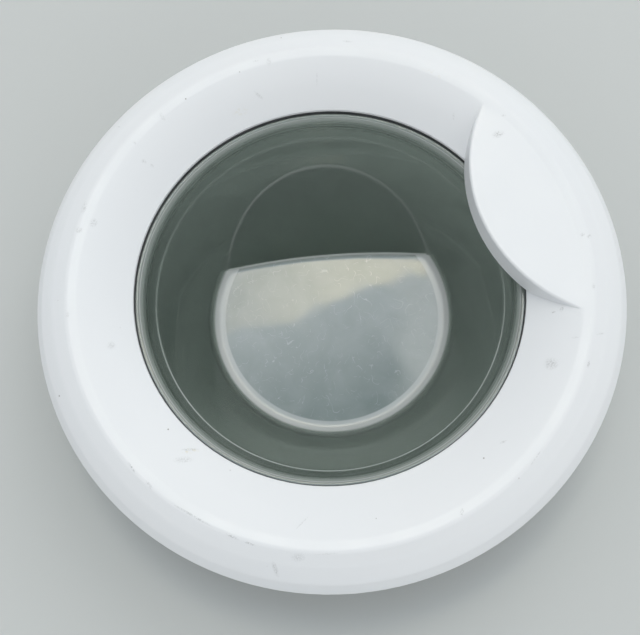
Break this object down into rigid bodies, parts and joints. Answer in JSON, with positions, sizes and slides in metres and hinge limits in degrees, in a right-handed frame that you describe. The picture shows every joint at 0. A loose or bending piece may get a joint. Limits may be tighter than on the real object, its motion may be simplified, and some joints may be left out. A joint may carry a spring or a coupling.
{
  "type": "washing machine door",
  "caption": "Round porthole door for a front-loading washer: white moulded ring with an integral grip, pressed glass bowl with a slanted facet, hinge bracket and sprung latch hook.",
  "frame": {"origin": "on the ring's axis, in the plane of the glass bowl's flat bottom, on which the door lies face up", "axes": "+Z out of the front of the door, +Y towards its top when it hangs on the machine, hinge at -X, latch at +X"},
  "size_m": [0.4699, 0.47, 0.1097],
  "materials": {
    "white_gloss": "satin-gloss white ABS with fine scuffs",
    "frame_plastic": "fine-grained pale grey polypropylene",
    "seat_rubber": "dull dark grey elastomer",
    "bowl_glass": "pressed clear glass with a faint green tint",
    "latch_plastic": "glass-filled dark grey nylon",
    "bush_nylon": "natural nylon",
    "cast_zinc": "dull die-cast zinc",
    "zinc_steel": "zinc-plated steel"
  },
  "bodies": {
    "door": {"outer_ring": "white_gloss", "grip_liner": "white_gloss", "liner_screws": "zinc_steel", "glass_seat_ring": "seat_rubber", "glass_bowl": "bowl_glass", "inner_ring": "frame_plastic", "frame_screws": "zinc_steel", "door_buffers": "seat_rubber", "hinge_carrier": "zinc_steel", "hinge_screws": "zinc_steel", "hinge_nuts": "zinc_steel", "hinge_pin": "zinc_steel", "pin_clips": "zinc_steel", "latch_housing": "latch_plastic", "latch_screws": "zinc_steel", "latch_pin": "zinc_steel", "latch_spring": "zinc_steel"},
    "bracket": {"hinge_bracket": "cast_zinc", "hinge_bushes": "bush_nylon"},
    "hook": {"latch_hook": "cast_zinc"}
  },
  "joints": [
    {"name": "door_hinge", "type": "hinge", "parent": "door", "child": "bracket", "pos_m": [-0.217, 0, 0.09], "axis": [0, 1, 0], "range_deg": [-59, 53]},
    {"name": "hook_pivot", "type": "hinge", "parent": "door", "child": "hook", "pos_m": [0.213, 0, 0.089], "axis": [0, 1, 0], "range_deg": [0, 12], "stiffness_Nm_per_rad": 0.6, "springref_deg": -8.59}
  ]
}
